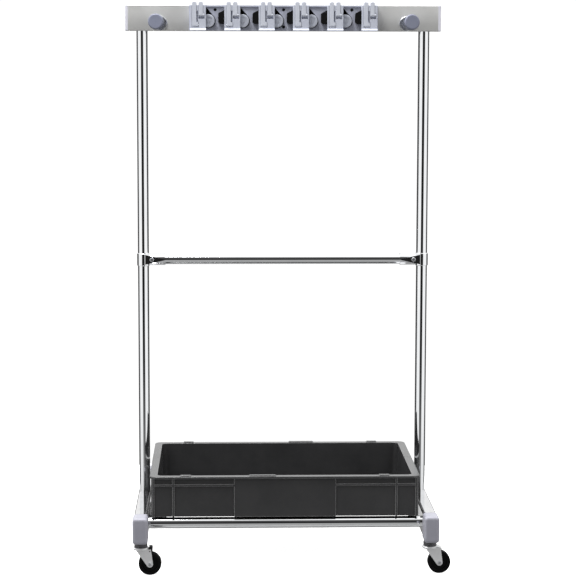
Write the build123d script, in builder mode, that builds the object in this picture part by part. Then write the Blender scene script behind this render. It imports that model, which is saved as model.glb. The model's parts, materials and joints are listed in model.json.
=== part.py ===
"""Wheeled mop and broom rack: a chromed frame on swivel casters, with a lift-off tray,
a clamped crossbar and a gripping tool holder with fold-down hooks.

Millimetres. Origin on the floor midway between the feet, +Z up, front towards -Y."""
import os
from math import cos, hypot, radians, sin

from build123d import *

os.makedirs("parts", exist_ok=True)

SIDES = {"left": -1, "right": 1}
ENDS = {"front": -1, "rear": 1}

# Frame
POST_X = 318.0            # post axes either side of the middle
POST_DIA = 25.0
WALL = 1.5                # wall of every steel tube
FOOT_WIDTH = 30.0
FOOT_BOTTOM = 77.0
FOOT_HEIGHT = 55.0
FOOT_TOP = FOOT_BOTTOM + FOOT_HEIGHT
FOOT_HALF = 280.0         # half length of the foot tube
FOOT_ROUND = 5.0          # corner radius of the foot tube
FOOT_MID_Z = FOOT_BOTTOM + FOOT_HEIGHT / 2
FOOT_INNER_X = POST_X - FOOT_WIDTH / 2
CAP_FACE = 5.0            # end plate of a foot cap
CAP_SLEEVE = 40.0
CAP_WALL = 1.5
VENT_Y = 230.0            # plating vent, at one end of each foot
VENT_R = 1.5
RAIL_DIA = 25.0
RAIL_Y = 184.0
RAIL_Z = 100.5
BEAM_BOTTOM = 1187.0
BEAM_HEIGHT = 58.0
BEAM_DEPTH = 30.0
BEAM_ROUND = 2.0
BEAM_HALF = 349.0
BEAM_CAP = 6.0
BEAM_MID_Z = BEAM_BOTTOM + BEAM_HEIGHT / 2
BEAM_FRONT = -BEAM_DEPTH / 2

# Bolts and plugs that join the tubes
PLUG_GAP = 0.1
POST_BOLT_R = 4.0
POST_BOLT_REACH = 20.0
RAIL_BOLT_R = 3.0
RAIL_BOLT_REACH = 15.0

# Crossbar and its clamps
BAR_DIA = 22.0
BAR_Z = 670.3
BAR_HALF = 292.0
CLAMP_OD = 28.6
CLAMP_HEIGHT = 28.8
SLEEVE_OD = 26.0
SLEEVE_END = 268.0
CLAMP_SCREW_X = 298.5
CLAMP_SCREW_R = 2.0
CLAMP_FACE = 13.6         # flat gusset beside the collar, out from the middle plane
CLAMP_SEAT = 11.4         # depth of the screw's seat from the middle plane
CLAMP_SPLIT = 0.4

# Swivel casters
STEM_Y = 243.0
STEM_R = 5.0
RING_R = 14.5
RING_BOTTOM = 61.0
WHEEL_R = 25.0
WHEEL_WIDTH = 20.0
CASTER_TRAIL = 20.0
AXLE_R = 3.0
FORK_IN = 11.2            # half gap between the fork legs
FORK_SHEET = 2.0
RACE_R = 17.8
FORK_TOP = 60.6
RUNNING = 0.05            # radial clearance of a shaft that turns

# Brake pedal, measured from the caster stem
BRAKE_X = 20.0
BRAKE_Z = 54.0
BRAKE_PIN_R = 1.5
BRAKES = [("front", "left"), ("rear", "right")]

# Pegs
PEG_X = 277.5
PEG_Z = 1204.0
PEG_OUT = 8.2             # degrees outwards
PEG_UP = 3.0              # degrees upwards
PEG_R = 6.0
PEG_LENGTH = 56.0
PEG_CAP_R = 17.2
PEG_CAP_T = 9.0
PEG_FLANGE_R = 16.6
PEG_FLANGE_T = 3.5

# Tool holder
HOLDER_HALF = 211.5
HOLDER_BOTTOM = 1187.3
HOLDER_TOP = 1244.0
HOLDER_WALL_Y = -27.0     # front of the grey wall between the housings
PITCH = 76.6
HOUSINGS = 6
HOUSING_WIDTH = 35.5
HOUSING_FRONT = -50.0
LIP_FRONT = -54.0
LIP_TOP = 1192.0
LIP_SLOPE = 3.4
ROLLER_R = 14.6
ROLLER_FRONT = -40.5
ROLLER_BACK = -20.5
ROLLER_DX = 23.0          # rest place of a roller, from its housing's middle
ROLLER_Z = 1209.0
TRACK_ANGLE = 49.0        # degrees above level, up and to the left
TRACK_LENGTH = 23.0
TRACK_R = 15.3
TRACK_FRONT = -41.0
TRACK_BACK = -20.0
GUIDE_R = 16.3            # outside of the black cup that lines a track
GUIDE_BACK = -18.0
HOLDER_SCREWS = [(-2, 1234.0), (0, 1234.0), (0, 1196.0), (2, 1234.0)]   # gap number, height
HOLDER_SCREW_R = 2.0
HOLDER_HEAD_R = 3.3

# Fold-down hooks, across from the housing's middle
HOOK_BACK = -43.6
HOOK_FRONT = -51.0
HOOK_PIVOT_Y = (HOOK_BACK + HOOK_FRONT) / 2
KNUCKLE_R = (HOOK_BACK - HOOK_FRONT) / 2
HOOK_PIN_R = 1.25
HOOK_TIP = 1251.0
BAY_BACK = -43.2
BAY_GAP = 0.5
LONG_HOOK = (-12.9, -3.3, 1199.0)     # left side, right side, pivot height
LONG_FOOT_RIGHT = 0.6
LONG_FOOT_TOP = 1206.0
SHORT_HOOK = (1.7, 11.2, 1222.0)
SHORT_KNUCKLE_RIGHT = 14.2

# Tray
TRAY_X = 300.0
TRAY_Y = 200.0
TRAY_BOTTOM = RAIL_Z + RAIL_DIA / 2 + 0.3
TRAY_RIM_Z = 207.0
TRAY_RIM_T = 4.5
TRAY_RIM_WIDTH = 17.0
RIM_NOTCH_Y = 16.0        # small groove across the right-hand rim
TRAY_WALL = 3.0
TRAY_TAPER = 5.0          # how far the walls draw in from the rim to the floor
RIB_OUT = 3.5             # outer edge of the ribs, in from the rim's outer edge
TRAY_SHELF_Z = 185.0
RIB_X = [110.5, 247.5, 292.0]
RIB_Y = [60.0, 150.0, 192.0]
RIB_T = 4.0
RIB_FOOT = 3.0            # how far the ribs stop above the floor's underside


def save(part, name):
    """Label a finished piece and write it to its STEP file."""
    part.label = name
    export_step(part, f"parts/{name}.step")


def housing_x(number):
    """Middle of one hook housing, numbered from the left."""
    return (number - (HOUSINGS - 1) / 2) * PITCH


# Frame

def foot_tube(side):
    x = side * POST_X
    with BuildPart() as tube:
        with BuildSketch(Plane.XZ):
            with Locations((x, FOOT_MID_Z)):
                RectangleRounded(FOOT_WIDTH, FOOT_HEIGHT, FOOT_ROUND)
                RectangleRounded(FOOT_WIDTH - 2 * WALL, FOOT_HEIGHT - 2 * WALL, FOOT_ROUND - WALL,
                                 mode=Mode.SUBTRACT)
        extrude(amount=FOOT_HALF, both=True)
        with BuildSketch(Plane.XY.offset(FOOT_BOTTOM - 1)):
            with Locations((x, -STEM_Y), (x, STEM_Y)):
                Circle(STEM_R + 0.2)
            with Locations((x, 0)):
                Circle(7.5)
        extrude(amount=WALL + 2, mode=Mode.SUBTRACT)
        with BuildSketch(Plane.XY.offset(FOOT_TOP + 1)):
            with Locations((x, 0)):
                Circle(POST_BOLT_R + 0.2)
            with Locations((x - side * 9.5, -side * VENT_Y)):
                Circle(VENT_R)
        extrude(amount=-WALL - 2, mode=Mode.SUBTRACT)
        with BuildSketch(Plane.YZ.offset(side * (FOOT_INNER_X - 1))):
            with Locations((-RAIL_Y, RAIL_Z), (RAIL_Y, RAIL_Z)):
                Circle(RAIL_BOLT_R + 0.2)
        extrude(amount=side * (WALL + 2), mode=Mode.SUBTRACT)
        with BuildSketch(Plane.YZ.offset(side * (FOOT_INNER_X + FOOT_WIDTH + 1))):
            with Locations((-RAIL_Y, RAIL_Z), (RAIL_Y, RAIL_Z)):
                Circle(6)
        extrude(amount=-side * (WALL + 2), mode=Mode.SUBTRACT)
    return tube.part


def foot_end_caps():
    """Plastic caps that slip over the four ends of the feet, notched below for the casters."""
    wide, high = FOOT_WIDTH + 2 * CAP_WALL, FOOT_HEIGHT + 2 * CAP_WALL
    with BuildPart() as caps:
        for side in SIDES.values():
            for end in ENDS.values():
                with BuildSketch(Plane.XZ.offset(-end * (FOOT_HALF - CAP_SLEEVE))):
                    with Locations((side * POST_X, FOOT_MID_Z)):
                        RectangleRounded(wide, high, FOOT_ROUND + CAP_WALL)
                block = extrude(amount=-end * (CAP_SLEEVE + CAP_FACE))
                fillet(block.faces().sort_by(Axis.Y)[-1 if end > 0 else 0].edges(), 4.5)
                with BuildSketch(Plane.XZ.offset(-end * (FOOT_HALF - CAP_SLEEVE))):
                    with Locations((side * POST_X, FOOT_MID_Z)):
                        RectangleRounded(FOOT_WIDTH + 0.1, FOOT_HEIGHT + 0.1, FOOT_ROUND)
                extrude(amount=-end * CAP_SLEEVE, mode=Mode.SUBTRACT)
                with BuildSketch(Plane.XY.offset(FOOT_BOTTOM - CAP_WALL - 1)):
                    with Locations((side * POST_X, end * (STEM_Y - 1))):
                        Rectangle(2 * RING_R + 2, 2 * RING_R + 8)
                extrude(amount=CAP_WALL + 1.6, mode=Mode.SUBTRACT)
    return caps.part


def post(side):
    with BuildPart() as tube:
        with BuildSketch(Plane.XY.offset(FOOT_TOP)):
            with Locations((side * POST_X, 0)):
                Circle(POST_DIA / 2)
                Circle(POST_DIA / 2 - WALL, mode=Mode.SUBTRACT)
        extrude(amount=BEAM_BOTTOM - FOOT_TOP)
    return tube.part


def rail(end):
    with BuildPart() as tube:
        with BuildSketch(Plane.YZ):
            with Locations((end * RAIL_Y, RAIL_Z)):
                Circle(RAIL_DIA / 2)
                Circle(RAIL_DIA / 2 - WALL, mode=Mode.SUBTRACT)
        extrude(amount=FOOT_INNER_X, both=True)
    return tube.part


def tube_plugs():
    """Threaded plugs pressed into the ends of the posts and of the rails."""
    post_r = POST_DIA / 2 - WALL - PLUG_GAP
    rail_r = RAIL_DIA / 2 - WALL - PLUG_GAP
    with BuildPart() as plugs:
        for side in SIDES.values():
            for start, way in ((FOOT_TOP, 1), (BEAM_BOTTOM, -1)):
                with BuildSketch(Plane.XY.offset(start)):
                    with Locations((side * POST_X, 0)):
                        Circle(post_r)
                        Circle(POST_BOLT_R, mode=Mode.SUBTRACT)
                extrude(amount=way * 25)
            for end in ENDS.values():
                with BuildSketch(Plane.YZ.offset(side * FOOT_INNER_X)):
                    with Locations((end * RAIL_Y, RAIL_Z)):
                        Circle(rail_r)
                        Circle(RAIL_BOLT_R, mode=Mode.SUBTRACT)
                extrude(amount=-side * 20)
    return plugs.part


def post_bolts():
    """Bolts from inside the feet and the beam into the posts."""
    with BuildPart() as bolts:
        for side in SIDES.values():
            for seat, way in ((FOOT_TOP - WALL, 1), (BEAM_BOTTOM + WALL, -1)):
                with BuildSketch(Plane.XY.offset(seat)):
                    with Locations((side * POST_X, 0)):
                        RegularPolygon(7.0, 6)
                extrude(amount=-way * 5.5)
                with BuildSketch(Plane.XY.offset(seat)):
                    with Locations((side * POST_X, 0)):
                        Circle(POST_BOLT_R)
                extrude(amount=way * (POST_BOLT_REACH + WALL))
    return bolts.part


def rail_bolts():
    """Bolts from inside the feet into the rails."""
    with BuildPart() as bolts:
        for side in SIDES.values():
            for end in ENDS.values():
                with BuildSketch(Plane.YZ.offset(side * (FOOT_INNER_X + WALL))):
                    with Locations((end * RAIL_Y, RAIL_Z)):
                        RegularPolygon(5.5, 6)
                extrude(amount=side * 4)
                with BuildSketch(Plane.YZ.offset(side * (FOOT_INNER_X + WALL))):
                    with Locations((end * RAIL_Y, RAIL_Z)):
                        Circle(RAIL_BOLT_R)
                extrude(amount=-side * (RAIL_BOLT_REACH + WALL))
    return bolts.part


def top_beam():
    with BuildPart() as beam:
        with BuildSketch(Plane.YZ):
            with Locations((0, BEAM_MID_Z)):
                RectangleRounded(BEAM_DEPTH, BEAM_HEIGHT, BEAM_ROUND)
                RectangleRounded(BEAM_DEPTH - 2 * WALL, BEAM_HEIGHT - 2 * WALL, 0.5, mode=Mode.SUBTRACT)
        extrude(amount=BEAM_HALF, both=True)
        with BuildSketch(Plane.XY.offset(BEAM_BOTTOM - 1)):
            with Locations((-POST_X, 0), (POST_X, 0)):
                Circle(POST_BOLT_R + 0.2)
        extrude(amount=WALL + 2, mode=Mode.SUBTRACT)
        with BuildSketch(Plane.XZ.offset(-BEAM_FRONT + 1)):
            with Locations((-PEG_X, PEG_Z), (PEG_X, PEG_Z)):
                Circle(3.2)
            with Locations([(gap * PITCH, z) for gap, z in HOLDER_SCREWS]):
                Circle(HOLDER_SCREW_R + 0.1)
        extrude(amount=-WALL - 2, mode=Mode.SUBTRACT)
    return beam.part


def beam_end_caps():
    """Plugged plastic covers on both ends of the beam."""
    with BuildPart() as caps:
        for side in SIDES.values():
            with BuildSketch(Plane.YZ.offset(side * BEAM_HALF)):
                with Locations((0, BEAM_MID_Z)):
                    RectangleRounded(BEAM_DEPTH, BEAM_HEIGHT, BEAM_ROUND)
            extrude(amount=side * BEAM_CAP)
            with BuildSketch(Plane.YZ.offset(side * BEAM_HALF)):
                with Locations((0, BEAM_MID_Z)):
                    RectangleRounded(BEAM_DEPTH - 2 * WALL - 0.2, BEAM_HEIGHT - 2 * WALL - 0.2, 1.4)
                    RectangleRounded(BEAM_DEPTH - 2 * WALL - 5, BEAM_HEIGHT - 2 * WALL - 5, 1, mode=Mode.SUBTRACT)
            extrude(amount=-side * 15)
            face = caps.faces().filter_by(Axis.X).sort_by(Axis.X)[-1 if side > 0 else 0]
            fillet(face.edges(), 1.5)
    return caps.part


# Crossbar

def crossbar():
    with BuildPart() as bar:
        with BuildSketch(Plane.YZ):
            with Locations((0, BAR_Z)):
                Circle(BAR_DIA / 2)
                Circle(BAR_DIA / 2 - WALL, mode=Mode.SUBTRACT)
        extrude(amount=BAR_HALF, both=True)
    return bar.part


def clamp_half(side, end):
    """Half of the cast clamp that holds the crossbar to a post: collar, sleeve and flat gusset."""
    with BuildPart() as clamp:
        with BuildSketch(Plane.XY.offset(BAR_Z - CLAMP_HEIGHT / 2)):
            with Locations((side * POST_X, 0)):
                Circle(CLAMP_OD / 2)
        extrude(amount=CLAMP_HEIGHT)
        chamfer(clamp.edges().filter_by(GeomType.CIRCLE), 1.0)
        with BuildSketch(Plane.YZ.offset(side * SLEEVE_END)):
            with Locations((0, BAR_Z)):
                Circle(SLEEVE_OD / 2)
        extrude(amount=side * (POST_X - SLEEVE_END))
        with BuildSketch(Plane.XZ):
            with BuildLine():
                Polyline(
                    (side * (POST_X + 1), BAR_Z - 12.4),
                    (side * (POST_X + 1), BAR_Z + 12.4),
                    (side * (SLEEVE_END + 2), BAR_Z + 1.2),
                    (side * (SLEEVE_END + 2), BAR_Z - 1.2),
                    close=True,
                )
            make_face()
        extrude(amount=-end * CLAMP_FACE)
        with BuildSketch(Plane.XZ.offset(-end * CLAMP_SEAT)):
            with Locations((side * CLAMP_SCREW_X, BAR_Z)):
                Circle(6.0)
        extrude(amount=-end * CLAMP_OD, mode=Mode.SUBTRACT)
        with BuildSketch(Plane.XY.offset(BAR_Z - CLAMP_HEIGHT)):
            with Locations((side * POST_X, 0)):
                Circle(POST_DIA / 2)
        extrude(amount=2 * CLAMP_HEIGHT, mode=Mode.SUBTRACT)
        with BuildSketch(Plane.YZ.offset(side * (SLEEVE_END - 1))):
            with Locations((0, BAR_Z)):
                Circle(BAR_DIA / 2)
        extrude(amount=side * (BAR_HALF - SLEEVE_END + 1), mode=Mode.SUBTRACT)
        with BuildSketch(Plane.XZ):
            with Locations((side * CLAMP_SCREW_X, BAR_Z)):
                Circle(CLAMP_SCREW_R)
        extrude(amount=CLAMP_OD, both=True, mode=Mode.SUBTRACT)
        split(bisect_by=Plane.XZ.offset(-end * CLAMP_SPLIT), keep=Keep.TOP if end < 0 else Keep.BOTTOM)
    return clamp.part


def clamp_screws():
    """Pan-head cross-recess screws that pull the clamp halves together."""
    with BuildPart() as screws:
        for side in SIDES.values():
            x = side * CLAMP_SCREW_X
            with BuildSketch(Plane.XZ.offset(CLAMP_SEAT)):
                with Locations((x, BAR_Z)):
                    Circle(5.0)
            extrude(amount=2.8)
            fillet(screws.faces().sort_by(Axis.Y)[0].edges(), 1.6)
            with BuildSketch(Plane.XZ.offset(CLAMP_SEAT + 3)):
                with Locations((x, BAR_Z)):
                    Rectangle(5, 1.1)
                    Rectangle(1.1, 5)
            extrude(amount=-1.8, mode=Mode.SUBTRACT)
            with BuildSketch(Plane.XZ.offset(CLAMP_SEAT)):
                with Locations((x, BAR_Z)):
                    Circle(CLAMP_SCREW_R)
            extrude(amount=-2 * CLAMP_SEAT)
    return screws.part


# Casters

def caster_stems():
    """Fixed part of each caster: threaded stem, inner nut, black dust ring and riveted end."""
    with BuildPart() as stems:
        for side in SIDES.values():
            for end in ENDS.values():
                at = (side * POST_X, end * STEM_Y)
                for low, high, radius in (
                    (52.6, 55.2, 8.0),
                    (55.2, 94.0, STEM_R),
                    (RING_BOTTOM, RING_BOTTOM + 9, RING_R),
                    (RING_BOTTOM + 9, FOOT_BOTTOM, RING_R - 1),
                    (FOOT_BOTTOM + WALL, FOOT_BOTTOM + WALL + 8, 9.0),
                ):
                    with BuildSketch(Plane.XY.offset(low)):
                        with Locations(at):
                            Circle(radius)
                    extrude(amount=high - low)
    return stems.part


def caster_fork(side, end, braked):
    """Pressed steel fork with its ball race, open over the wheel at the trailing side."""
    x, y = side * POST_X, end * STEM_Y
    axle = (x + CASTER_TRAIL, WHEEL_R)
    with BuildPart() as fork:
        for way in (-1, 1):
            with BuildSketch(Plane.XZ.offset(-y + way * (FORK_IN + FORK_SHEET / 2))):
                with Locations((x + 6.75, FORK_TOP - 4.5)):
                    Rectangle(31.5, 3)
                with Locations(axle):
                    Circle(7.0)
                make_hull()
            extrude(amount=FORK_SHEET / 2, both=True)
        with BuildSketch(Plane.XY.offset(FORK_TOP - 5)):
            with Locations((x + 1.5, y)):
                Rectangle(21, 2 * (FORK_IN + FORK_SHEET))
        extrude(amount=FORK_SHEET)
        if not braked:
            with BuildSketch(Plane.XZ.offset(-y)):
                with BuildLine():
                    Polyline(
                        (x + 10, FORK_TOP),
                        (x + 18, FORK_TOP),
                        (x + 25.5, FORK_TOP - 4.2),
                        (x + 24.5, FORK_TOP - 6),
                        (x + 17.5, FORK_TOP - 2),
                        (x + 10, FORK_TOP - 2),
                        close=True,
                    )
                make_face()
            extrude(amount=FORK_IN + FORK_SHEET, both=True)
        for low, high, radius in ((5, 3, RACE_R - 1.6), (3, 0, RACE_R)):
            with BuildSketch(Plane.XY.offset(FORK_TOP - low)):
                with Locations((x, y)):
                    Circle(radius)
            extrude(amount=low - high)
        chamfer(fork.faces().sort_by(Axis.Z)[-1].edges(), 1.0)
        with BuildSketch(Plane.XY.offset(FORK_TOP - 6)):
            with Locations((x, y)):
                Circle(STEM_R + RUNNING)
        extrude(amount=8, mode=Mode.SUBTRACT)
        with BuildSketch(Plane.XZ.offset(-y)):
            with Locations(axle):
                Circle(AXLE_R)
            if braked:
                with Locations((x + BRAKE_X, BRAKE_Z)):
                    Circle(BRAKE_PIN_R + RUNNING)
        extrude(amount=20, both=True, mode=Mode.SUBTRACT)
    return fork.part


def caster_wheel(side, end):
    """Solid black wheel with a rounded tread and a dished web, bored for its axle."""
    centre = (side * POST_X + CASTER_TRAIL, WHEEL_R)
    plane = Plane.XZ.offset(-end * STEM_Y)
    with BuildPart() as wheel:
        with BuildSketch(plane):
            with Locations(centre):
                Circle(WHEEL_R)
        extrude(amount=WHEEL_WIDTH / 2, both=True)
        fillet(wheel.edges().filter_by(GeomType.CIRCLE), 2.5)
        for way in (-1, 1):
            with BuildSketch(plane.offset(way * WHEEL_WIDTH / 2)):
                with Locations(centre):
                    Circle(18)
                    Circle(9, mode=Mode.SUBTRACT)
            extrude(amount=-way * 2.5, mode=Mode.SUBTRACT)
        with BuildSketch(plane):
            with Locations(centre):
                Circle(AXLE_R + RUNNING)
        extrude(amount=WHEEL_WIDTH, both=True, mode=Mode.SUBTRACT)
    return wheel.part


def caster_axle(side, end):
    """Axle bolt with a domed head at the front and a nut at the back."""
    centre = (side * POST_X + CASTER_TRAIL, WHEEL_R)
    plane = Plane.XZ.offset(-end * STEM_Y)
    outer = FORK_IN + FORK_SHEET
    with BuildPart() as axle:
        with BuildSketch(plane.offset(outer)):
            with Locations(centre):
                Circle(4.6)
        extrude(amount=3)
        fillet(axle.faces().sort_by(Axis.Y)[0].edges(), 1.8)
        with BuildSketch(plane.offset(outer)):
            with Locations(centre):
                Circle(AXLE_R)
        extrude(amount=-2 * outer - 4.5)
        with BuildSketch(plane.offset(-outer)):
            with Locations(centre):
                RegularPolygon(5.5, 6)
        extrude(amount=-3.2)
    return axle.part


def brake_pedal(side, end):
    """Toe pedal that tips down onto the tread, with stub pins in the fork legs."""
    x, plane = side * POST_X, Plane.XZ.offset(-end * STEM_Y)
    with BuildPart() as pedal:
        with BuildSketch(plane):
            with Locations((x + BRAKE_X, BRAKE_Z)):
                Circle(3.2)
            with BuildLine():
                Polyline(
                    (x + 17.2, BRAKE_Z + 1),
                    (x + 18.6, FORK_TOP + 0.4),
                    (x + 18.6, FORK_TOP + 2.8),
                    (x + 25.4, FORK_TOP + 2.2),
                    (x + 26, FORK_TOP - 0.8),
                    (x + 25.6, 51.2),
                    (x + 23.4, 50.7),
                    (x + BRAKE_X + 2.4, BRAKE_Z - 1.6),
                    close=True,
                )
            make_face()
        extrude(amount=8.5, both=True)
        with BuildSketch(plane):
            with Locations((x + BRAKE_X, BRAKE_Z)):
                Circle(BRAKE_PIN_R)
        extrude(amount=FORK_IN + FORK_SHEET, both=True)
    return pedal.part


# Pegs

def peg_plane(side):
    """Plane at the foot of a peg, facing along its tilted stem."""
    out, up = radians(PEG_OUT), radians(PEG_UP)
    along = (side * sin(out) * cos(up), -cos(out) * cos(up), sin(up))
    return Plane(origin=(side * PEG_X, BEAM_FRONT, PEG_Z), x_dir=(0, 0, 1), z_dir=along)


def peg(side):
    """Steel peg with a round flange against the beam and a stud through its wall."""
    with BuildPart() as stem:
        with BuildSketch(Plane.XZ.offset(-BEAM_FRONT)):
            with Locations((side * PEG_X, PEG_Z)):
                Circle(PEG_FLANGE_R)
        extrude(amount=PEG_FLANGE_T)
        chamfer(stem.faces().sort_by(Axis.Y)[0].edges(), 1.2)
        with BuildSketch(peg_plane(side).offset(2)):
            Circle(PEG_R)
        extrude(amount=PEG_LENGTH - PEG_CAP_T + 2)
        with BuildSketch(Plane.XZ.offset(-BEAM_FRONT)):
            with Locations((side * PEG_X, PEG_Z)):
                Circle(3.0)
        extrude(amount=-12)
    return stem.part


def peg_caps():
    """Round mushroom caps pushed on the ends of the pegs."""
    with BuildPart() as caps:
        for side in SIDES.values():
            base = peg_plane(side).offset(PEG_LENGTH - PEG_CAP_T)
            with BuildSketch(base.offset(PEG_CAP_T / 2)):
                Circle(PEG_CAP_R)
            rounds = extrude(amount=PEG_CAP_T / 2, both=True)
            fillet(rounds.edges().filter_by(GeomType.CIRCLE), 3.0)
            with BuildSketch(base.offset(-1)):
                Circle(PEG_R)
            extrude(amount=5, mode=Mode.SUBTRACT)
    return caps.part


# Tool holder

def track(number, reach):
    """Outline that a roller sweeps, or its clearance track, seen from the front."""
    x = housing_x(number) + ROLLER_DX
    angle = radians(TRACK_ANGLE)
    top = (x - TRACK_LENGTH * cos(angle), ROLLER_Z + TRACK_LENGTH * sin(angle))
    with Locations((x, ROLLER_Z), top):
        Circle(reach)
    make_hull()


def holder_body():
    """Moulded rail screwed to the beam: a wall with a roller recess in every gap and a top lip."""
    wide, high = 2 * HOLDER_HALF, HOLDER_TOP - HOLDER_BOTTOM
    mid_z = HOLDER_BOTTOM + high / 2
    with BuildPart() as body:
        with BuildSketch(Plane.XZ.offset(-BEAM_FRONT)):
            with Locations((0, mid_z)):
                Rectangle(wide, high)
        extrude(amount=BEAM_FRONT - HOLDER_WALL_Y)
        with BuildSketch(Plane.XZ.offset(-HOLDER_WALL_Y)):
            for gap in range(1 - HOUSINGS // 2, HOUSINGS // 2):
                with Locations((gap * PITCH, HOLDER_TOP - 1.75)):
                    Rectangle(PITCH - HOUSING_WIDTH, 3.5)
        extrude(amount=3)
        for number in range(HOUSINGS - 1):
            with BuildSketch(Plane.XZ.offset(-GUIDE_BACK)):
                track(number, GUIDE_R + 0.1)
            extrude(amount=GUIDE_BACK - HOLDER_WALL_Y, mode=Mode.SUBTRACT)
        for gap, z in HOLDER_SCREWS:
            with BuildSketch(Plane.XZ.offset(-HOLDER_WALL_Y)):
                with Locations((gap * PITCH, z)):
                    Circle(HOLDER_HEAD_R + 0.3)
            extrude(amount=-6, mode=Mode.SUBTRACT)
            with BuildSketch(Plane.XZ.offset(-HOLDER_WALL_Y)):
                with Locations((gap * PITCH, z)):
                    Circle(HOLDER_SCREW_R + 0.1)
            extrude(amount=-14, mode=Mode.SUBTRACT)
    return body.part


def roller_guides():
    """Black cups set in the holder body, which line the back of each roller's track."""
    with BuildPart() as guides:
        for number in range(HOUSINGS - 1):
            with BuildSketch(Plane.XZ.offset(-GUIDE_BACK)):
                track(number, GUIDE_R)
            extrude(amount=GUIDE_BACK - HOLDER_WALL_Y)
            with BuildSketch(Plane.XZ.offset(-TRACK_BACK)):
                track(number, TRACK_R)
            extrude(amount=TRACK_BACK - HOLDER_WALL_Y, mode=Mode.SUBTRACT)
    return guides.part


def holder_screws():
    with BuildPart() as screws:
        for gap, z in HOLDER_SCREWS:
            with BuildSketch(Plane.XZ.offset(-HOLDER_WALL_Y - 6)):
                with Locations((gap * PITCH, z)):
                    Circle(HOLDER_HEAD_R)
            extrude(amount=2.6)
            with BuildSketch(Plane.XZ.offset(-HOLDER_WALL_Y - 4)):
                with Locations((gap * PITCH, z)):
                    Rectangle(4.4, 1)
                    Rectangle(1, 4.4)
            extrude(amount=-1.2, mode=Mode.SUBTRACT)
            with BuildSketch(Plane.XZ.offset(-HOLDER_WALL_Y - 6)):
                with Locations((gap * PITCH, z)):
                    Circle(HOLDER_SCREW_R)
            extrude(amount=-14)
    return screws.part


def hook_bays():
    """Pockets in a housing's front: left and right from its middle, then low and top heights."""
    left, right, pivot = LONG_HOOK
    low = pivot - KNUCKLE_R - BAY_GAP
    short_left, short_right, short_pivot = SHORT_HOOK
    short_low = short_pivot - KNUCKLE_R - 5
    foot_reach = hypot(KNUCKLE_R, LONG_FOOT_TOP - pivot)
    return (
        (left - BAY_GAP, right + BAY_GAP, low, HOLDER_TOP + 1),
        (left, LONG_FOOT_RIGHT + BAY_GAP, low, pivot + foot_reach + BAY_GAP),
        (right, right + 3.2, LONG_FOOT_TOP, HOLDER_TOP - 13),
        (short_left - BAY_GAP, short_right + BAY_GAP, short_low, HOLDER_TOP + 1),
        (short_right, SHORT_KNUCKLE_RIGHT + BAY_GAP, short_low, short_pivot + KNUCKLE_R + BAY_GAP),
    )


def hook_housings():
    """Housings clipped over the holder body: two hook bays in front, the roller track behind."""
    high = HOLDER_TOP - HOLDER_BOTTOM
    with BuildPart() as housings:
        for number in range(HOUSINGS):
            x = housing_x(number)
            with BuildSketch(Plane.XZ.offset(-HOLDER_WALL_Y)):
                with Locations((x, HOLDER_BOTTOM + high / 2)):
                    Rectangle(HOUSING_WIDTH, high)
            block = extrude(amount=HOLDER_WALL_Y - HOUSING_FRONT)
            fillet(block.faces().sort_by(Axis.Y)[0].edges(), 1.0)
            with BuildSketch(Plane.YZ.offset(x - HOUSING_WIDTH / 2)):
                with BuildLine():
                    Polyline(
                        (HOUSING_FRONT + 2, HOLDER_BOTTOM),
                        (LIP_FRONT, HOLDER_BOTTOM),
                        (LIP_FRONT, LIP_TOP - LIP_SLOPE),
                        (HOUSING_FRONT, LIP_TOP),
                        (HOUSING_FRONT + 2, LIP_TOP),
                        close=True,
                    )
                make_face()
            extrude(amount=HOUSING_WIDTH)
            with BuildSketch(Plane.XZ.offset(-BAY_BACK)):
                for left, right, low, top in hook_bays():
                    with Locations((x + (left + right) / 2, (low + top) / 2)):
                        Rectangle(right - left, top - low)
            extrude(amount=20, mode=Mode.SUBTRACT)
            if number < HOUSINGS - 1:
                with BuildSketch(Plane.XZ.offset(-HOLDER_WALL_Y)):
                    track(number, TRACK_R)
                extrude(amount=HOLDER_WALL_Y - TRACK_FRONT, mode=Mode.SUBTRACT)
            with BuildSketch(Plane.YZ.offset(x - HOUSING_WIDTH / 2 + 2)):
                with Locations((HOOK_PIVOT_Y, LONG_HOOK[2])):
                    Circle(HOOK_PIN_R)
            extrude(amount=18, mode=Mode.SUBTRACT)
            with BuildSketch(Plane.YZ.offset(x + HOUSING_WIDTH / 2 - 2)):
                with Locations((HOOK_PIVOT_Y, SHORT_HOOK[2])):
                    Circle(HOOK_PIN_R)
            extrude(amount=-15, mode=Mode.SUBTRACT)
    return housings.part


def hook_pins():
    """Short steel pins that the hooks turn on, one long and one short hook to a housing."""
    with BuildPart() as pins:
        for number in range(HOUSINGS):
            x = housing_x(number)
            with BuildSketch(Plane.YZ.offset(x - HOUSING_WIDTH / 2 + 2)):
                with Locations((HOOK_PIVOT_Y, LONG_HOOK[2])):
                    Circle(HOOK_PIN_R)
            extrude(amount=18)
            with BuildSketch(Plane.YZ.offset(x + HOUSING_WIDTH / 2 - 2)):
                with Locations((HOOK_PIVOT_Y, SHORT_HOOK[2])):
                    Circle(HOOK_PIN_R)
            extrude(amount=-15)
    return pins.part


def grip_pads():
    """Ribbed rubber pads on the side of a housing, facing the rollers."""
    with BuildPart() as pads:
        for number in range(1, HOUSINGS):
            x = housing_x(number) - HOUSING_WIDTH / 2
            with BuildSketch(Plane.XZ.offset(-HOLDER_WALL_Y)):
                with BuildLine():
                    Polyline(
                        (x, 1233),
                        (x - 12.8, 1226.5),
                        (x - 13.8, 1224),
                        (x - 13.8, 1206.5),
                        (x - 8.5, 1202.5),
                        (x, 1202.5),
                        close=True,
                    )
                make_face()
                with Locations([(x - 13.8, 1209 + 3.2 * step) for step in range(5)]):
                    Rectangle(2.2, 1.2, mode=Mode.SUBTRACT)
            extrude(amount=HOLDER_WALL_Y + 46)
    return pads.part


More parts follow.
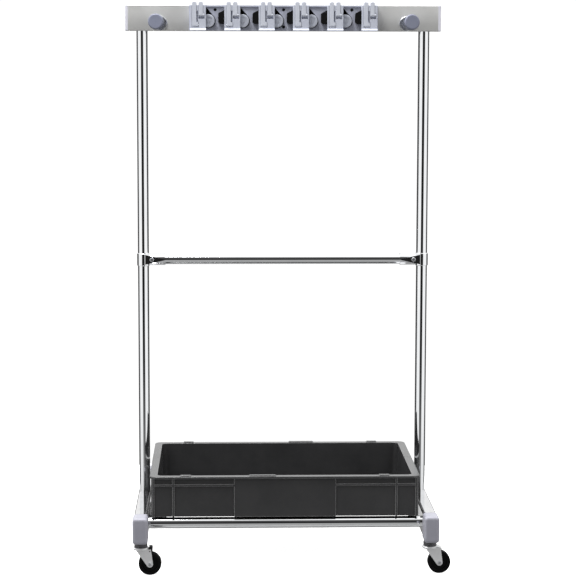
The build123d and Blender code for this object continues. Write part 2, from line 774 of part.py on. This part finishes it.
def grip_roller(number):
    """Rubber roller that wedges a handle against the pad, with a moulded centre dimple."""
    centre = (housing_x(number) + ROLLER_DX, ROLLER_Z)
    with BuildPart() as roller:
        with BuildSketch(Plane.XZ.offset(-ROLLER_BACK)):
            with Locations(centre):
                Circle(ROLLER_R)
        extrude(amount=ROLLER_BACK - ROLLER_FRONT)
        fillet(roller.edges().filter_by(GeomType.CIRCLE), 1.6)
        with BuildSketch(Plane.XZ.offset(-ROLLER_FRONT)):
            with Locations(centre):
                Circle(9)
                Circle(4, mode=Mode.SUBTRACT)
        extrude(amount=-0.8, mode=Mode.SUBTRACT)
    return roller.part


def hook(number, left, right, pivot, foot_right, foot_top):
    """Fold-down hook, stored upright: knuckle, flat arm and a rounded tip turned to the rear."""
    x = housing_x(number)
    with BuildPart() as arm:
        with BuildSketch(Plane.YZ.offset(x + left)):
            with Locations((HOOK_PIVOT_Y, pivot)):
                Circle(KNUCKLE_R)
            with Locations((HOOK_PIVOT_Y, (pivot + HOOK_TIP) / 2)):
                Rectangle(2 * KNUCKLE_R, HOOK_TIP - pivot)
            with Locations((HOOK_BACK + 2, HOOK_TIP - 3)):
                Rectangle(6, 6)
        extrude(amount=right - left)
        fillet(arm.edges().filter_by(Axis.Y).group_by(Axis.Z)[-1], 3.6)
        fillet(arm.edges().filter_by(Axis.Z).group_by(Axis.Y)[0], 0.8)
        with BuildSketch(Plane.YZ.offset(x + right - 1)):
            with Locations((HOOK_PIVOT_Y, pivot)):
                Circle(KNUCKLE_R)
            if foot_top > pivot:
                with Locations((HOOK_PIVOT_Y, (pivot + foot_top) / 2)):
                    Rectangle(2 * KNUCKLE_R, foot_top - pivot)
        extrude(amount=foot_right - right + 1)
        with BuildSketch(Plane.YZ.offset(x + left - 1)):
            with Locations((HOOK_PIVOT_Y, pivot)):
                Circle(HOOK_PIN_R + RUNNING)
        extrude(amount=20, mode=Mode.SUBTRACT)
    return arm.part


# Tray

def tray():
    """Open tray: tapered shell, outer ribs with a shelf, wide rim and stacking lugs."""
    rim_in_x, rim_in_y = TRAY_X - TRAY_RIM_WIDTH, TRAY_Y - TRAY_RIM_WIDTH
    low_in_x, low_in_y = rim_in_x - TRAY_TAPER, rim_in_y - TRAY_TAPER
    rib_x, rib_y = TRAY_X - RIB_OUT, TRAY_Y - RIB_OUT
    with BuildPart() as box:
        with BuildSketch(Plane.XY.offset(TRAY_BOTTOM)):
            RectangleRounded(2 * (low_in_x + TRAY_WALL), 2 * (low_in_y + TRAY_WALL), 12)
        with BuildSketch(Plane.XY.offset(TRAY_RIM_Z)):
            RectangleRounded(2 * (rim_in_x + TRAY_WALL), 2 * (rim_in_y + TRAY_WALL), 12)
        loft()
        with BuildSketch(Plane.XY.offset(TRAY_RIM_Z - TRAY_RIM_T)):
            RectangleRounded(2 * TRAY_X, 2 * TRAY_Y, 16)
        rim = extrude(amount=TRAY_RIM_T)
        fillet(rim.faces().sort_by(Axis.Z)[-1].edges(), 1.2)
        with BuildSketch(Plane.XY.offset(TRAY_SHELF_Z)):
            RectangleRounded(2 * rib_x, 2 * rib_y, 14)
        extrude(amount=RIB_T)
        with BuildSketch(Plane.XY.offset(TRAY_BOTTOM + RIB_FOOT)):
            for way in (-1, 1):
                with Locations([(way * x, 0) for x in RIB_X]):
                    Rectangle(RIB_T, 2 * rib_y)
                with Locations([(0, way * y) for y in RIB_Y]):
                    Rectangle(2 * rib_x, RIB_T)
                with Locations((0, way * (rib_y - RIB_T / 2))):
                    Rectangle(2 * RIB_X[0] + RIB_T, RIB_T)
        extrude(amount=TRAY_RIM_Z - TRAY_RIM_T - TRAY_BOTTOM - RIB_FOOT)
        with BuildSketch(Plane.XY.offset(TRAY_RIM_Z)):
            for way in (-1, 1):
                with Locations((way * 220, TRAY_Y - 8.5), (way * 220, 8.5 - TRAY_Y)):
                    RectangleRounded(23, 9, 2)
                with Locations((way * 50, way * (TRAY_Y - 8.5))):
                    RectangleRounded(58, 9, 2)
        extrude(amount=2.5)
        with BuildSketch(Plane.XY.offset(TRAY_BOTTOM + TRAY_WALL)):
            RectangleRounded(2 * low_in_x, 2 * low_in_y, 10)
        with BuildSketch(Plane.XY.offset(TRAY_RIM_Z + 0.01)):
            RectangleRounded(2 * rim_in_x, 2 * rim_in_y, 12)
        loft(mode=Mode.SUBTRACT)
        with BuildSketch(Plane.XY.offset(TRAY_RIM_Z)):
            with Locations((TRAY_X, RIM_NOTCH_Y)):
                Rectangle(3 * TRAY_RIM_WIDTH, 1.4)
        extrude(amount=-1.2, mode=Mode.SUBTRACT)
    return box.part


# Build every piece

for side_name, side in SIDES.items():
    save(foot_tube(side), f"{side_name}_foot_tube")
    save(post(side), f"{side_name}_post")
    save(peg(side), f"{side_name}_peg")
    for end_name, end in ENDS.items():
        save(clamp_half(side, end), f"{side_name}_clamp_{end_name}_half")
        corner = f"{end_name}_{side_name}"
        braked = (end_name, side_name) in BRAKES
        save(caster_fork(side, end, braked), f"{corner}_caster_fork")
        save(caster_wheel(side, end), f"{corner}_caster_wheel")
        save(caster_axle(side, end), f"{corner}_caster_axle")
        if braked:
            save(brake_pedal(side, end), f"{corner}_brake_pedal")

for end_name, end in ENDS.items():
    save(rail(end), f"{end_name}_rail")

for make in (foot_end_caps, tube_plugs, post_bolts, rail_bolts, top_beam, beam_end_caps, crossbar,
             clamp_screws, caster_stems, peg_caps, holder_body, roller_guides, holder_screws,
             hook_housings, hook_pins, grip_pads, tray):
    save(make(), make.__name__)

for number in range(HOUSINGS):
    long_foot, short_foot = (LONG_FOOT_RIGHT, LONG_FOOT_TOP), (SHORT_KNUCKLE_RIGHT, SHORT_HOOK[2])
    save(hook(number, *LONG_HOOK, *long_foot), f"long_hook_{number + 1}")
    save(hook(number, *SHORT_HOOK, *short_foot), f"short_hook_{number + 1}")
    if number < HOUSINGS - 1:
        save(grip_roller(number), f"grip_roller_{number + 1}")
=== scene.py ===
"""Wheeled mop and broom rack in a white studio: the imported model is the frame, and every piece of it
gets a procedural material. Metres, origin on the floor midway between the feet, front to -Y."""
import json
import math

import bpy
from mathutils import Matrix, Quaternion, Vector


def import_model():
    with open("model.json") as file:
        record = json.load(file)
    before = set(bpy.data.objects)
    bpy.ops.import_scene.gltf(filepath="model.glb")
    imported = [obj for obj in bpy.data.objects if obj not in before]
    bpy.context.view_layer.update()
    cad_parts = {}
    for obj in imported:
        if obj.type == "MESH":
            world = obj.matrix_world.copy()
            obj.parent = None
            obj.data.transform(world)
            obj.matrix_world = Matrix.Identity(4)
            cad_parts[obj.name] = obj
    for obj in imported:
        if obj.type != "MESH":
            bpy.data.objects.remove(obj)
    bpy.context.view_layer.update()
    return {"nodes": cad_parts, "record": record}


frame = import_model()
scene = bpy.context.scene
nodes = frame["nodes"]
record = frame["record"]

# Camera, fitted to the photograph's viewing angle
CAMERA_PLACE = (-0.1360, -4.4385, 1.1217)
CAMERA_AIM = (0.0120, 0.0, 0.6038)
CAMERA_ROLL = 0.0021
CAMERA_LENS = 122.0

# Floor that the camera sees, and the grey card under it that reflections and soft light see
FLOOR_RADIUS = 1.0
FLOOR_CORNERS = 96
FLOOR_PALE = 0.95
FLOOR_GLOW = 0.9
CARD_DEPTH = 0.001
CARD_FRONT = -0.262
CARD_GREY = 0.3
CARD_GLOW = 0.12

# Studio walls: brightness below, beside and above the rack, and how dark the dark zones are
LOW_LIGHT = 0.4
SIDE_LIGHT = 1.0
TOP_LIGHT = 1.4
FRONT_DARK_LOW = 0.985
FRONT_DARK_HIGH = 0.93
REAR_DARK = 0.93
WIDE_DARK = 0.6
BACKDROP_LIGHT = 1.05

# Soft light above the front left
KEY_PLACE = (-0.9, -0.6, 3.6)
KEY_AIM = (0, 0, 0.4)
KEY_SIZE = (1.2, 1.2)
KEY_POWER = 110

# The beam's face is darker low down, a painted shade: the two heights, and the share of its colour left
# at the lower
BEAM_PAINTED_SHADE = (1.190, 1.232, 0.68)

# Grooves of the tray, darkened with painted shade: how far off a wall counts, the share of colour left in
# a recess and the dusty roughness
TRAY_HOLLOW_SHADE_AND_DUST = (0.03, 0.16, 0.6)


def srgb(text):
    """A colour written as six hex digits, as linear red, green and blue."""
    values = [int(text[i:i + 2], 16) / 255 for i in (0, 2, 4)]
    return tuple(v / 12.92 if v <= 0.04045 else ((v + 0.055) / 1.055) ** 2.4 for v in values)


# Studio

def facing(place, aim):
    """The turn that points a camera or a light at aim."""
    return (Vector(aim) - Vector(place)).to_track_quat("-Z", "Y")


def camera():
    data = bpy.data.cameras.new("camera")
    data.lens = CAMERA_LENS
    data.clip_start, data.clip_end = 0.1, 60
    obj = bpy.data.objects.new("camera", data)
    scene.collection.objects.link(obj)
    obj.location = CAMERA_PLACE
    obj.rotation_mode = "QUATERNION"
    obj.rotation_quaternion = facing(CAMERA_PLACE, CAMERA_AIM) @ Quaternion((0, 0, 1), CAMERA_ROLL)
    scene.camera = obj


class Nodes:
    """Short ways to add and join shader nodes in one tree."""

    def __init__(self, tree):
        self.tree = tree

    def add(self, kind, **values):
        node = self.tree.nodes.new(kind)
        for key, value in values.items():
            setattr(node, key, value)
        return node

    def link(self, source, target):
        self.tree.links.new(source, target)

    def math(self, operation, first, second=None):
        node = self.add("ShaderNodeMath", operation=operation)
        for socket, value in zip(node.inputs, (first, second)):
            if value is None:
                continue
            if isinstance(value, (int, float)):
                socket.default_value = value
            else:
                self.link(value, socket)
        return node.outputs[0]

    def ramp(self, value, low, high, start=0.0, end=1.0):
        """Smooth step of value from low to high, as start to end."""
        node = self.add("ShaderNodeMapRange", interpolation_type="SMOOTHSTEP")
        self.link(value, node.inputs["Value"])
        node.inputs["From Min"].default_value = low
        node.inputs["From Max"].default_value = high
        node.inputs["To Min"].default_value = start
        node.inputs["To Max"].default_value = end
        return node.outputs["Result"]

    def tinted(self, colour, factor):
        """A colour multiplied by a grey factor."""
        tone = self.add("ShaderNodeMixRGB", blend_type="MULTIPLY")
        tone.inputs[0].default_value = 1.0
        self.link(colour, tone.inputs[1])
        self.link(factor, tone.inputs[2])
        return tone.outputs[0]

    def noise(self, scale, detail=3.0, stretch=(1, 1, 1), rough=0.55):
        """Noise in the piece's own metres; scale is in features to a metre."""
        coord = self.add("ShaderNodeTexCoord")
        mapping = self.add("ShaderNodeMapping")
        mapping.inputs["Scale"].default_value = [scale * s for s in stretch]
        tex = self.add("ShaderNodeTexNoise")
        tex.inputs["Scale"].default_value = 1.0
        tex.inputs["Detail"].default_value = detail
        tex.inputs["Roughness"].default_value = rough
        self.link(coord.outputs["Object"], mapping.inputs["Vector"])
        self.link(mapping.outputs["Vector"], tex.inputs["Vector"])
        return tex.outputs["Fac"]


def world():
    """White studio: bright above and at the sides, with a dark front and a dim low rear, which draw
    the dark lines down polished tubes. Soft light comes from the same studio with a wider, paler dark
    front, and the backdrop that the camera sees is plain white."""
    made = bpy.data.worlds.new("studio")
    made.use_nodes = True
    made.node_tree.nodes.clear()
    n = Nodes(made.node_tree)
    coord = n.add("ShaderNodeTexCoord")
    split = n.add("ShaderNodeSeparateXYZ")
    n.link(coord.outputs["Generated"], split.inputs[0])
    x, y, z = split.outputs
    turn = n.math("ABSOLUTE", n.math("ARCTAN2", x, n.math("MULTIPLY", y, -1)))
    rise = n.math("ARCSINE", z)
    deg = math.radians
    front = n.math("MULTIPLY", n.ramp(turn, deg(20), deg(30), 1, 0), n.ramp(rise, deg(38), deg(68), 1, 0))
    front = n.math("MULTIPLY", front, n.ramp(rise, deg(-20), deg(-8)))
    front = n.math("MULTIPLY", front, n.ramp(rise, deg(5), deg(25), FRONT_DARK_LOW, FRONT_DARK_HIGH))
    rear = n.math("MULTIPLY", n.ramp(turn, deg(88), deg(100)), n.ramp(rise, deg(2.5), deg(6), 1, 0))
    low = n.ramp(rise, deg(-18), deg(-9), LOW_LIGHT, SIDE_LIGHT)
    sky = n.math("ADD", low, n.ramp(rise, deg(20), deg(70), 0, TOP_LIGHT - SIDE_LIGHT))
    light = n.math("MULTIPLY", sky, n.math("SUBTRACT", 1, front))
    light = n.math("MULTIPLY", light, n.math("SUBTRACT", 1, n.math("MULTIPLY", rear, REAR_DARK)))
    wide = n.math("MULTIPLY", n.ramp(turn, deg(45), deg(75), 1, 0), n.ramp(rise, deg(30), deg(60), 1, 0))
    matt = n.math("MULTIPLY", sky, n.math("SUBTRACT", 1, n.math("MULTIPLY", wide, WIDE_DARK)))
    studio = n.add("ShaderNodeBackground")
    n.link(light, studio.inputs["Strength"])
    matt_studio = n.add("ShaderNodeBackground")
    n.link(matt, matt_studio.inputs["Strength"])
    backdrop = n.add("ShaderNodeBackground")
    backdrop.inputs["Strength"].default_value = BACKDROP_LIGHT
    for node in (studio, matt_studio, backdrop):
        node.inputs["Color"].default_value = (1, 1, 1, 1)
    path = n.add("ShaderNodeLightPath")
    shade = n.add("ShaderNodeMixShader")
    n.link(path.outputs["Is Diffuse Ray"], shade.inputs[0])
    n.link(studio.outputs[0], shade.inputs[1])
    n.link(matt_studio.outputs[0], shade.inputs[2])
    mix = n.add("ShaderNodeMixShader")
    n.link(path.outputs["Is Camera Ray"], mix.inputs[0])
    n.link(shade.outputs[0], mix.inputs[1])
    n.link(backdrop.outputs[0], mix.inputs[2])
    out = n.add("ShaderNodeOutputWorld")
    n.link(mix.outputs[0], out.inputs[0])
    scene.world = made


def soft_light(name, place, aim, size, power):
    data = bpy.data.lights.new(name, "AREA")
    data.shape = "RECTANGLE"
    data.size, data.size_y = size
    data.energy = power
    obj = bpy.data.objects.new(name, data)
    scene.collection.objects.link(obj)
    obj.location = place
    obj.rotation_mode = "QUATERNION"
    obj.rotation_quaternion = facing(place, aim)


def floor():
    """Pale round floor that only the camera sees, and a greyer card just under it, cut off straight
    near the front rail, that only reflections and soft light see."""
    turns = [2 * math.pi * i / FLOOR_CORNERS for i in range(FLOOR_CORNERS)]
    for name, low, front, colour, glow in (
        ("floor", 0.0, -FLOOR_RADIUS, FLOOR_PALE, FLOOR_GLOW),
        ("floor_card", -CARD_DEPTH, CARD_FRONT, CARD_GREY, CARD_GLOW),
    ):
        ring = [(FLOOR_RADIUS * math.cos(t), max(front, FLOOR_RADIUS * math.sin(t)), low) for t in turns]
        mesh = bpy.data.meshes.new(name)
        mesh.from_pydata(ring, [], [range(FLOOR_CORNERS)])
        obj = bpy.data.objects.new(name, mesh)
        scene.collection.objects.link(obj)
        mat = bpy.data.materials.new(name)
        mat.use_nodes = True
        n = Nodes(mat.node_tree)
        shader = mat.node_tree.nodes["Principled BSDF"]
        mix = n.add("ShaderNodeMixRGB")
        mix.inputs[1].default_value = (colour * 0.97, colour * 0.97, colour * 0.97, 1)
        mix.inputs[2].default_value = (colour, colour, colour, 1)
        n.link(n.noise(3), mix.inputs[0])
        n.link(mix.outputs[0], shader.inputs["Base Color"])
        shader.inputs["Roughness"].default_value = 0.9
        shader.inputs["Specular IOR Level"].default_value = 0.1
        shader.inputs["Emission Color"].default_value = (1, 1, 1, 1)
        shader.inputs["Emission Strength"].default_value = glow
        mesh.materials.append(mat)
        seen = name == "floor"
        obj.visible_camera = seen
        obj.visible_glossy = not seen
        obj.visible_diffuse = not seen
        obj.visible_shadow = False


# Materials

def surface(name, colours, roughness, metallic=0.0, patch=25, grain=900, grain_bump=0.0,
            stretch=(1, 1, 1), specular=0.5, edge=0.0, edge_colour=None, dulled=None, hollows=None):
    """A material whose colour and roughness drift in soft patches, with a fine grain in relief.
    patch and grain are features to a metre, and grain_bump is the grain's depth in metres.
    edge is the radius in metres that sharp edges are softened by, and edge_colour a lighter tint painted
    on those edges as a painted highlight.
    dulled is a low height, a high height and how much of the colour is left at the low one: painted shade
    that darkens the colour downwards.
    hollows is how far off a wall counts, how much colour is left in a recess as painted shade, and its
    dusty roughness."""
    mat = bpy.data.materials.new(name)
    mat.use_nodes = True
    n = Nodes(mat.node_tree)
    shader = mat.node_tree.nodes["Principled BSDF"]
    shader.inputs["Metallic"].default_value = metallic
    shader.inputs["Specular IOR Level"].default_value = specular
    patches = n.noise(patch, 4)
    fine = n.noise(grain, 2, stretch)
    mix = n.add("ShaderNodeMixRGB")
    mix.inputs[1].default_value = (*srgb(colours[0]), 1)
    mix.inputs[2].default_value = (*srgb(colours[1]), 1)
    blend = n.math("ADD", n.math("MULTIPLY", patches, 0.6), n.math("MULTIPLY", fine, 0.4))
    n.link(n.ramp(blend, 0.3, 0.7), mix.inputs[0])
    colour = mix.outputs[0]
    # Painted shade: the colour darkens from the high height down to the low one.
    if dulled:
        low, high, left = dulled
        split = n.add("ShaderNodeSeparateXYZ")
        n.link(n.add("ShaderNodeTexCoord").outputs["Object"], split.inputs[0])
        colour = n.tinted(colour, n.ramp(split.outputs[2], low, high, left, 1.0))
    rough = n.ramp(blend, 0.3, 0.7, *roughness)
    # Painted shade: ambient occlusion darkens the colour in recesses, and the roughness rises there as
    # dust.
    if hollows:
        reach, left, dust = hollows
        shut = n.add("ShaderNodeAmbientOcclusion", samples=8)
        shut.inputs["Distance"].default_value = reach
        open_part = shut.outputs["AO"]
        colour = n.tinted(colour, n.ramp(open_part, 0.35, 0.95, left, 1.0))
        rough = n.math("MAXIMUM", rough, n.ramp(open_part, 0.55, 0.9, dust, 0.0))
    n.link(rough, shader.inputs["Roughness"])
    normal = None
    if edge:
        bevel = n.add("ShaderNodeBevel", samples=6)
        bevel.inputs["Radius"].default_value = edge
        normal = bevel.outputs[0]
    # Painted highlight: sharp edges get a lighter tint.
    if edge_colour:
        geometry = n.add("ShaderNodeNewGeometry")
        dot = n.add("ShaderNodeVectorMath", operation="DOT_PRODUCT")
        n.link(normal, dot.inputs[0])
        n.link(geometry.outputs["Normal"], dot.inputs[1])
        edge_highlight = n.add("ShaderNodeMixRGB")
        edge_highlight.inputs[2].default_value = (*srgb(edge_colour), 1)
        n.link(n.ramp(dot.outputs["Value"], 0.9, 0.995, 1, 0), edge_highlight.inputs[0])
        n.link(colour, edge_highlight.inputs[1])
        colour = edge_highlight.outputs[0]
    n.link(colour, shader.inputs["Base Color"])
    if grain_bump:
        bump = n.add("ShaderNodeBump")
        bump.inputs["Strength"].default_value = 1.0
        bump.inputs["Distance"].default_value = grain_bump
        n.link(fine, bump.inputs["Height"])
        if normal:
            n.link(normal, bump.inputs["Normal"])
        normal = bump.outputs[0]
    if normal:
        n.link(normal, shader.inputs["Normal"])
    return mat


def materials():
    """One finished material to each material slot of the record."""
    along_x, along_y = (0.02, 1, 1), (1, 0.02, 1)
    made = {}

    def add(slot, *values, **options):
        made[slot] = surface(slot, *values, **options)

    # Metals
    add("chrome_tube", ("eceef0", "f6f7f8"), (0.02, 0.06), 1.0, 12, 500, 2e-6)
    add("polished_foot", ("dcdcdd", "ebebec"), (0.05, 0.1), 1.0, 18, 1500, 1e-6, along_y)
    # The beam's face darkens low down with painted shade.
    add("satin_beam", ("f2f2f0", "fafaf8"), (0.42, 0.52), 0.7, 15, 1600, 6e-6, along_x,
        dulled=BEAM_PAINTED_SHADE)
    add("zinc_hardware", ("c6c8cc", "dadcdf"), (0.22, 0.36), 1.0, 120, 1500, 6e-6)
    add("zinc_fork", ("f4f5f6", "fdfdfe"), (0.34, 0.46), 0.3, 80, 1400, 6e-6, edge=0.0008)
    add("black_screw", ("1c1c20", "2a2a2e"), (0.35, 0.5), 0.6, 200, 1500, 5e-6)
    # Grey plastics of the feet, beam and tool holder
    # The foot caps and peg caps have painted highlights on their edges.
    add("foot_cap_plastic", ("a4a4af", "aeaeb9"), (0.3, 0.42), grain_bump=1e-5,
        edge=0.008, edge_colour="cfcfda")
    add("beam_cap_plastic", ("e2e2ee", "ececf5"), (0.3, 0.4), grain_bump=1e-5)
    add("peg_cap_plastic", ("7f8396", "8a8ea0"), (0.35, 0.45), grain_bump=1e-5,
        edge=0.0022, edge_colour="c2c5d2")
    add("holder_plastic", ("b4b7c6", "bec1cf"), (0.35, 0.45), grain_bump=1.5e-5)
    add("housing_plastic", ("c6cad8", "d0d4e0"), (0.3, 0.4), grain_bump=1e-5, edge=0.0006)
    add("hook_plastic", ("d0d4e0", "dadee8"), (0.25, 0.35), grain_bump=8e-6, edge=0.0006)
    # Dark plastics
    add("black_caster_head", ("1c1c1e", "6c6c70"), (0.35, 0.5), 0.0, 260, 1200, 1e-5)
    add("brake_plastic", ("141415", "1e1e20"), (0.4, 0.55), grain_bump=1e-5)
    add("guide_plastic", ("070708", "0e0e10"), (0.6, 0.75), grain_bump=1e-5, specular=0.15)
    # The tray has painted highlights on its edges and painted shade in its grooves.
    add("tray_plastic", ("333334", "3d3d3e"), (0.14, 0.22), 0.0, 14, 1400, 1e-5, specular=0.6,
        edge=0.002, edge_colour="8a8a8b", hollows=TRAY_HOLLOW_SHADE_AND_DUST)
    # Rubbers
    add("roller_rubber", ("b6bac6", "c2c6d1"), (0.5, 0.65), grain_bump=2e-5)
    add("black_rubber", ("060607", "0c0c0d"), (0.6, 0.8), grain_bump=2e-5, specular=0.15)
    add("wheel_rubber", ("050506", "0b0b0c"), (0.5, 0.7), 0.0, 90, 900, 2e-5, specular=0.12)
    return made


def paint():
    made = materials()
    for part in record["subparts"]:
        for entry in nodes[part["node"]].material_slots:
            entry.material = made[part["material_slot"]]


camera()
world()
floor()
soft_light("key", KEY_PLACE, KEY_AIM, KEY_SIZE, KEY_POWER)
paint()
scene.view_settings.view_transform = "Standard"
